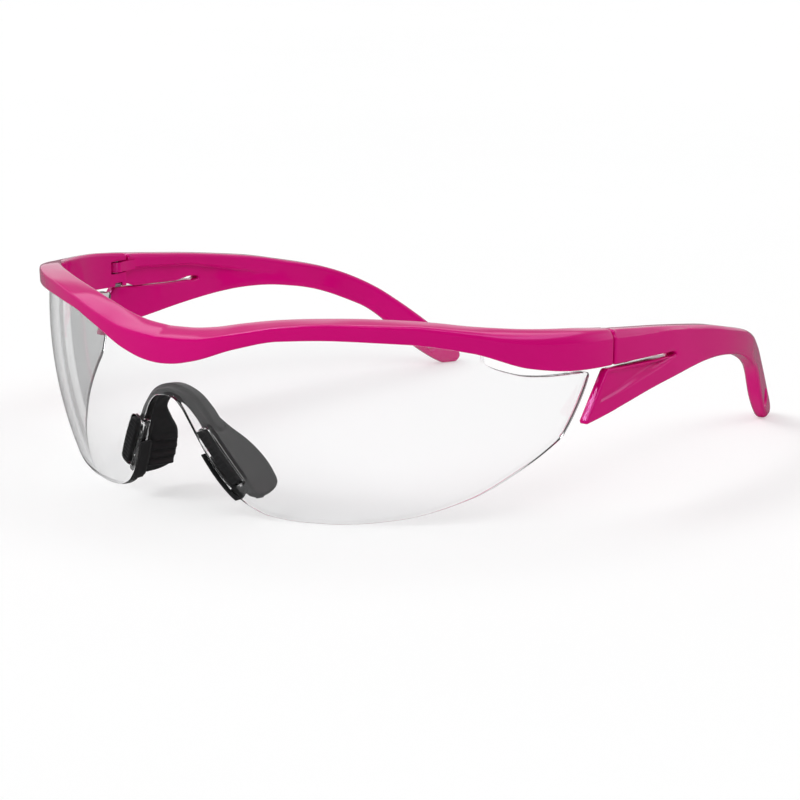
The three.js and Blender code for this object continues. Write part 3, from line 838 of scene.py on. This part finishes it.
def panel_details():
    """Extra points along the panel's walls, so that they stay crisp."""
    out = []
    for y in np.arange(-5, 23.4, 0.3):
        rim, top = float(panel_rim_z(y)), float(panel_top_z(y))
        width = float(panel_wall_width(y))
        out += [(y, rim + share * width) for share in (-0.15, 0, 0.15, 0.4, 0.65, 0.9, 1.05)]
        out += [(y, top - drop) for drop in (0.15, 0.35, 0.6, 0.85, 1.05)]
    start, finish = np.array(PANEL_FRONT)
    way = (finish - start) / np.linalg.norm(finish - start)
    inward = np.array([-way[1], way[0]])
    for offset in (-0.08, 0.02, 0.15, 0.3, 0.45, 0.6):
        out += [tuple(lerp(start, finish, t) + inward * offset) for t in np.linspace(0, 1, 22)]
    return np.array(out)


def arm_surfaces(flat, distance):
    """The temple's outer and inner skins over points seen from the side, as y and z."""
    y = flat[:, 0]
    fall, tall = arm_station(flat)
    share = fall / tall
    is_wing = (share > 1.0) & (y < 24)
    soft = lerp(0.9, 1.15, smoothstep(y, 58, 80))
    soft = lerp(soft, lerp(0.5, soft, smoothstep(y, 18, 44)), smoothstep(share, 0.75, 1.0))
    soft = np.where(y < 24, lerp(SEAM_ROUNDING, soft, smoothstep(y, 0.2, 1.6)), soft)
    slim = smoothstep(y, 50, 72) * (ARM_THICKNESS - TIP_THICKNESS) / 2
    upper = np.clip(1 - fall / np.maximum(tall * (1 - crease_along_arm(y)), 0.05), 0, 1)
    ledge = 0.42 * smoothstep(upper, 0, 0.42) + 0.2 * upper
    lean_back = ledge * (1 - smoothstep(y, 26, 44)) * ~is_wing
    outer_in = slim + edge_round(distance, soft) + lean_back + panel_fall(flat)

    lower = lerp(ARM_LOWER_THICKNESS, ARM_THICKNESS, smoothstep(y, 25, 50))
    thick = lerp(ARM_THICKNESS, lower, smoothstep(share, 0.42, 0.50))
    wing = lerp(WING_THICKNESS_FRONT, WING_THICKNESS_REAR, smoothstep(y, -2, 12))
    thick = lerp(thick, wing, (share > 1.0) * (1 - smoothstep(y, 18, 36)))
    inner_in = thick - slim - edge_round(distance, soft)

    slope = lerp(arm_centre_x(y + 0.5) - arm_centre_x(y - 0.5), TIP_SLOPE, smoothstep(y, 76, 92))
    outward = np.column_stack([np.ones_like(slope), -slope]) / np.hypot(1, slope)[:, None]
    over_slit = smoothstep(share, 0.72, 1.0) * (share < 1.06)
    over_slit = over_slit * smoothstep(y, 1, 4) * (1 - smoothstep(y, 16, 21))
    skins = []
    for inset, drop in ((outer_in, 0), (inner_in, SLIT_LIP * over_slit)):
        reach = ARM_THICKNESS / 2 - inset
        skins.append(np.column_stack([arm_centre_x(y) + outward[:, 0] * reach,
                                      y + outward[:, 1] * reach, flat[:, 1] - drop]))
    return skins


def crease_along_arm(y):
    """Height of the crease on the arm's outer face, as a share of the arm's height."""
    return lerp(0.76, 0.95, smoothstep(y, 0, 42))


def crease_details():
    """Extra points along the arm's crease and along the step on its inner face."""
    out = []
    for y in np.arange(0.8, 46, 0.4):
        top = np.interp(y, *np.array(ARM_TOP).T)
        bottom = np.interp(y, *np.array(ARM_BOTTOM).T)
        line = lerp(bottom, top, float(crease_along_arm(y)))
        step = lerp(bottom, top, 0.54)
        out += [(y, line - 0.15), (y, line), (y, line + 0.2)]
        out += [(y, step - 0.35), (y, step), (y, step + 0.35)]
    return np.array(out)


def make_temple():
    turn = np.linspace(0, 2 * math.pi, 48, endpoint=False)
    hole = np.column_stack([np.cos(turn), np.sin(turn)]) * LANYARD_HOLE_RADII + LANYARD_HOLE
    details = np.vstack([panel_details(), crease_details()])
    points, faces = plate([temple_outline(), hole], 0.30, 0.62, arm_surfaces, details)
    arm = new_object("temple_left_gloss", points, faces, PINK)
    eye = hinge_cylinder("eye", TONGUE_RADIUS, TONGUE_LOW, TONGUE_HIGH)
    neck = block("neck", (HINGE_X - 1.4, HINGE_Y, TONGUE_LOW),
                 (HINGE_X + 1.5, TEMPLE_START_Y + 2, TONGUE_HIGH))
    combine(eye, neck, "UNION")
    combine(arm, eye, "UNION")
    bore = hinge_cylinder("hole", SCREW_HOLE_RADIUS, TONGUE_LOW - 1, TONGUE_HIGH + 1)
    combine(arm, bore, "DIFFERENCE")
    return arm


# ---- nose piece

PAD_FRONT_DEPTH = LENS_THICKNESS + 0.5


def saddle_curves():
    """The nose piece's front and rear edges, from the wearer's right pad over the arch to the left one."""
    sx, sz = np.array(SADDLE_FRONT, float).T
    front = lens_point(lens_angle_at_x(sx, sz, PAD_FRONT_DEPTH), sz, PAD_FRONT_DEPTH)
    rear = np.array(SADDLE_REAR, float)
    both = []
    for side in (front, rear):
        other = side[:0:-1] * (-1, 1, 1)
        both.append(spline(np.vstack([other, side])))
    return both


def make_saddle():
    """The pads and the arch as one shell, laid out flat as length along it and distance to its rear."""
    front, rear = saddle_curves()
    shares = np.linspace(0, 1, 1201)
    a, b = front(shares), rear(shares)
    middle = lerp(a, b, 0.45)
    along = np.concatenate([[0], np.cumsum(np.linalg.norm(np.diff(middle, axis=0), axis=1))])
    along -= along[-1] / 2
    width = np.linalg.norm(b - a, axis=1)
    tangent = np.gradient(a, axis=0) + np.gradient(b, axis=0)
    outward = np.cross(tangent, b - a)
    outward /= np.linalg.norm(outward, axis=1)[:, None]

    picks = slice(None, None, 8)
    outline = np.vstack([np.column_stack([along[picks], np.zeros_like(along[picks])]),
                         np.column_stack([along[picks], width[picks]])[::-1]])
    corner_count = len(outline) // 2
    corners = (0, corner_count - 1, corner_count, len(outline) - 1)
    outline = softened(outline, corners, (1.6, 1.6, 3.4, 3.4))

    def surfaces(flat, distance):
        share = np.interp(flat[:, 0], along, shares)
        start, end = front(share), rear(share)
        wide = np.interp(flat[:, 0], along, width)
        out = np.column_stack([np.interp(share, shares, outward[:, k]) for k in range(3)])
        out /= np.linalg.norm(out, axis=1)[:, None]
        base = start + (end - start) * (flat[:, 1] / wide)[:, None]
        fall = edge_round(distance, PAD_EDGE_ROUNDING)
        half = PAD_THICKNESS / 2
        outer = half - fall + strip_height(flat[:, 0], flat[:, 1])
        inner = -half + fall - rib_height(share, flat[:, 1] / wide)
        return base + out * outer[:, None], base + out * inner[:, None]

    ribs = [(u, w) for u in np.arange(-along[-1] + 1, along[-1] - 1, 0.22)
            for w in np.arange(1.0, 16, 0.5) if w < np.interp(u, along, width) - 1.0]
    strip = [(u, w) for u in np.arange(-14, 14, 0.2) for w in np.arange(0.5, 5, 0.14)
             if 0.9 < strip_reach(u, w) < 2.6 and w < np.interp(u, along, width) - 0.3]
    return plate([outline], 0.35, 0.6, surfaces, np.array(ribs + strip))


def softened(outline, corners, radii):
    """The outline with some of its corners cut to a curve of the given reach."""
    size = len(outline)
    keep = np.ones(size, bool)
    inserted = {}
    ts = np.linspace(0, 1, 9)[:, None]
    for index, reach in zip(corners, radii):
        corner = outline[index]
        near = np.linalg.norm(outline - corner, axis=1) < reach
        keep &= ~near
        group = np.where(near)[0].tolist()
        first, last = run_end(group, size, -1), run_end(group, size, 1)
        before = outline[(first - 1) % size]
        after = outline[(last + 1) % size]
        inserted[first] = (1 - ts) ** 2 * before + 2 * ts * (1 - ts) * corner + ts ** 2 * after
    out = []
    for i in range(size):
        if i in inserted:
            out += list(inserted[i])
        if keep[i]:
            out.append(outline[i])
    return np.array(out)


def run_end(group, size, way):
    """First (way -1) or last (way 1) index of a run of indices that may wrap past the end."""
    return next(i for i in group if (i + way) % size not in group)


def strip_reach(u, w):
    """Distance from the middle line of the raised strip over the arch."""
    return np.hypot(np.maximum(np.abs(u) - STRIP_HALF_LENGTH, 0), w - STRIP_OFFSET)


def strip_height(u, w):
    """The raised strip, with a shallow groove round it."""
    reach = strip_reach(u, w)
    groove = 0.2 * np.exp(-((reach - 2.0) / 0.35) ** 2)
    return STRIP_HEIGHT * (1 - smoothstep(reach, 1.2, 1.75)) - groove


def rib_height(share, across):
    """The ribs across the inner face of each pad."""
    from_top = np.abs(share - 0.5) * 2
    position = (from_top - 0.52) / 0.36 * RIB_COUNT
    on = (position > 0) & (position < RIB_COUNT)
    wave = np.sin(math.pi * (position % 1)) ** 2
    fade = smoothstep(across, 0.16, 0.28) * (1 - smoothstep(across, 0.90, 0.97))
    return RIB_HEIGHT * wave * on * fade


def make_plug():
    """The button that fills a lens slot: proud of the lens, with shallow bumps along its face."""
    corners = slot_corners(SLOT_WIDTH / 2 - 0.3, -0.3)
    top, bottom = np.array(SLOT_TOP), np.array(SLOT_BOTTOM)
    along = (bottom - top) / np.linalg.norm(bottom - top)

    def surfaces(flat, distance):
        place = (flat - top) @ along
        bumps = 0.22 * np.sin(place / 2.1 * 2 * math.pi) ** 2 * smoothstep(distance, 0.15, 0.5)
        fall = edge_round(distance, 0.4)
        angle = lens_angle_at_x(flat[:, 0], flat[:, 1], 0.0)
        return (lens_point(angle, flat[:, 1], -0.75 + fall + bumps),
                lens_point(angle, flat[:, 1], 4.0))

    outline = round_corners(corners, [0.6] * 4, steps=6)
    return plate([outline], 0.2, 0.25, surfaces, rings=(0.04, 0.12, 0.25, 0.4))


def make_lip():
    """The lip that wraps the lower part of the notch edge, and the web that joins it to the pad."""
    def strip(angles, near, far, front_depth, back_depth):
        rings = []
        for angle in angles:
            z = float(lens_bottom_z(angle))
            ahead = float(lens_bottom_z(angle + 0.2))
            slope = math.atan2(z - ahead, math.radians(0.2) * HALF_WIDTH)
            x = float(lens_point(angle, z, 0.0)[0])
            corners = round_corners([(near, front_depth), (far, front_depth), (far, back_depth),
                                     (near, back_depth)], [0.3] * 4, steps=5)
            px = x - corners[:, 0] * math.sin(slope)
            pz = z - corners[:, 0] * math.cos(slope)
            rings.append(lens_point(lens_angle_at_x(px, pz, corners[:, 1]), pz, corners[:, 1]))
        return loft(rings)

    behind = LENS_THICKNESS + 0.3
    return [strip(np.linspace(7.6, 13.2, 40), 0.3, 0.8, -0.5, behind + 0.15),
            strip(np.linspace(7.9, 12.9, 40), -2.4, 0.6, behind, behind + 0.8)]


def make_nose_piece():
    shells = [make_saddle(), make_plug(), *make_lip()]
    shells += [(p * (-1, 1, 1), [tuple(reversed(f)) for f in faces]) for p, faces in shells[1:]]
    points, faces = [], []
    count = 0
    for p, f in shells:
        points.append(p)
        faces += [tuple(i + count for i in face) for face in f]
        count += len(p)
    piece = new_object("nose_piece_soft", np.vstack(points), faces, RUBBER)
    join = piece.modifiers.new("join", "REMESH")
    join.mode = "VOXEL"
    join.voxel_size = NOSE_PIECE_VOXEL * MM
    relax = piece.modifiers.new("relax", "SMOOTH")
    relax.factor = 0.5
    relax.iterations = 3
    bake_modifiers(piece)
    smooth(piece, 70)
    return piece


# ---- hinge screw

def make_hinge_screw():
    shoulder = SCREW_LOW + SCREW_HEAD_HEIGHT
    profile = [(0.02, SCREW_LOW), (SCREW_HEAD_RADIUS - 0.25, SCREW_LOW),
               (SCREW_HEAD_RADIUS - 0.06, SCREW_LOW + 0.08), (SCREW_HEAD_RADIUS, SCREW_LOW + 0.25),
               (SCREW_HEAD_RADIUS, shoulder - 0.05), (SCREW_HEAD_RADIUS - 0.05, shoulder),
               (SCREW_RADIUS, shoulder)]
    thread = np.arange(shoulder + 0.2, SCREW_TIP - 0.4, 0.1)
    profile += [(SCREW_RADIUS - 0.03 * (1 + math.cos(z / THREAD_PITCH * 2 * math.pi)), z) for z in thread]
    profile += [(SCREW_RADIUS - 0.05, SCREW_TIP - 0.3), (SCREW_RADIUS - 0.3, SCREW_TIP), (0.02, SCREW_TIP)]
    rings = [hinge_ring(radius, z, 48) for radius, z in profile]
    screw = new_object("hinge_screw_left_turned", *loft(rings), STEEL)
    slot = block("slot", (HINGE_X - 2, HINGE_Y - 0.2, SCREW_LOW - 1),
                 (HINGE_X + 2, HINGE_Y + 0.2, SCREW_LOW + 0.35))
    combine(screw, slot, "DIFFERENCE")
    screw.data.materials.clear()
    screw.data.materials.append(STEEL)
    return screw


# ---- pieces on the frame

def place(piece, body, node, slot):
    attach(piece, body)
    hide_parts(node)


def build_goggles():
    place(make_brow_frame(), "front", "brow_frame", "gloss_pink")
    place(make_lens(), "front", "lens", "clear_lens")
    place(make_nose_piece(), "front", "nose_piece", "black_rubber")
    temple = make_temple()
    place(mirrored(temple, "temple_right_gloss"), "temple_right", "temple_right", "gloss_pink")
    place(temple, "temple_left", "temple_left", "gloss_pink")
    screw = make_hinge_screw()
    place(mirrored(screw, "hinge_screw_right_turned"), "front", "hinge_screw_right", "hinge_steel")
    place(screw, "front", "hinge_screw_left", "hinge_steel")


# ---- studio

def direction(azimuth, elevation):
    """The way from the object to something seen at an azimuth, from the front towards +X."""
    a, e = math.radians(azimuth), math.radians(elevation)
    return Vector((math.sin(a) * math.cos(e), -math.cos(a) * math.cos(e), math.sin(e)))


def make_camera():
    right = direction(CAMERA_AZIMUTH + 90, 0)
    up = direction(CAMERA_AZIMUTH, CAMERA_ELEVATION + 90)
    back = direction(CAMERA_AZIMUTH, CAMERA_ELEVATION)
    data = bpy.data.cameras.new("camera")
    data.sensor_width = 36
    data.lens = CAMERA_LENS
    data.clip_start = 0.01
    data.clip_end = 50
    camera = linked("camera", data)
    place_mm = back * CAMERA_DISTANCE + right * CAMERA_RIGHT + up * CAMERA_UP + Vector((0, SEAM_SHIFT, 0))
    turn = Matrix((right, up, back)).transposed().to_4x4()
    camera.matrix_world = Matrix.Translation(place_mm * MM) @ turn
    bpy.context.scene.camera = camera


def far_light(name, azimuth, elevation, spread, strength):
    """A round lamp a long way off, so that it lights the whole floor evenly."""
    way = direction(azimuth, elevation)
    data = bpy.data.lights.new(name, "SUN")
    data.angle = math.radians(spread)
    data.energy = strength
    linked(name, data).rotation_euler = way.to_track_quat("Z", "Y").to_euler()


# Brightness of the studio against the sine of the elevation, on the camera's side and behind the object.
FRONT_GLOW = ((0.0, 0.13), (0.40, 0.17), (0.55, 0.35), (0.62, 2.9), (0.80, 2.9), (0.86, 0.55), (1.0, 0.45))
REAR_GLOW = ((0.0, 1.0), (0.35, 1.0), (0.50, 0.45), (0.60, 0.45), (0.66, 2.0), (0.80, 2.0), (0.86, 0.55),
             (1.0, 0.45))
GLOW_SCALE = 3.0              # a colour ramp stops at one, so the glows are stored as shares of this


def make_world():
    """A studio in tones: a bright ring high all round, a dim front below it, and a lit rear."""
    world = bpy.data.worlds.new("studio")
    bpy.context.scene.world = world
    world.use_nodes = True
    tree = world.node_tree
    tree.nodes.clear()
    node = tree.nodes.new
    link = tree.links.new
    output = node("ShaderNodeOutputWorld")
    background = node("ShaderNodeBackground")
    background.inputs["Strength"].default_value = GLOW_SCALE * STUDIO_BRIGHTNESS
    where = node("ShaderNodeTexCoord")
    parts = node("ShaderNodeSeparateXYZ")
    link(where.outputs["Generated"], parts.inputs[0])

    def glow(stops):
        ramp = node("ShaderNodeValToRGB")
        fill_ramp(ramp.color_ramp, [(at, [level / GLOW_SCALE] * 3) for at, level in stops])
        link(parts.outputs["Z"], ramp.inputs["Fac"])
        return ramp.outputs["Color"]

    facing = node("ShaderNodeVectorMath")
    facing.operation = "DOT_PRODUCT"
    facing.inputs[1].default_value = -direction(CAMERA_AZIMUTH, 0)
    link(where.outputs["Generated"], facing.inputs[0])
    behind = node("ShaderNodeMapRange")
    behind.interpolation_type = "SMOOTHSTEP"
    behind.inputs["From Min"].default_value = -0.2
    behind.inputs["From Max"].default_value = 0.4
    link(facing.outputs["Value"], behind.inputs["Value"])
    mix = node("ShaderNodeMix")
    mix.data_type = "RGBA"
    link(behind.outputs["Result"], mix.inputs[0])
    link(glow(FRONT_GLOW), mix.inputs[6])
    link(glow(REAR_GLOW), mix.inputs[7])
    link(mix.outputs[2], background.inputs["Color"])
    link(background.outputs[0], output.inputs["Surface"])


def make_floor():
    size = FLOOR_HALF_SIZE
    corners = [(-size, -size, 0), (size, -size, 0), (size, size, 0), (-size, size, 0)]
    mesh = bpy.data.meshes.new("floor")
    mesh.from_pydata(corners, [], [(0, 1, 2, 3)])
    mesh.materials.append(studio_floor())
    floor = linked("floor", mesh)
    floor.location.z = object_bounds()[0][2] - FLOOR_GAP


def make_studio():
    make_camera()
    make_world()
    make_floor()
    far_light("key", KEY_AZIMUTH, KEY_ELEVATION, KEY_SPREAD, KEY_STRENGTH)
    bpy.context.scene.view_settings.view_transform = "Standard"


build_goggles()
make_studio()
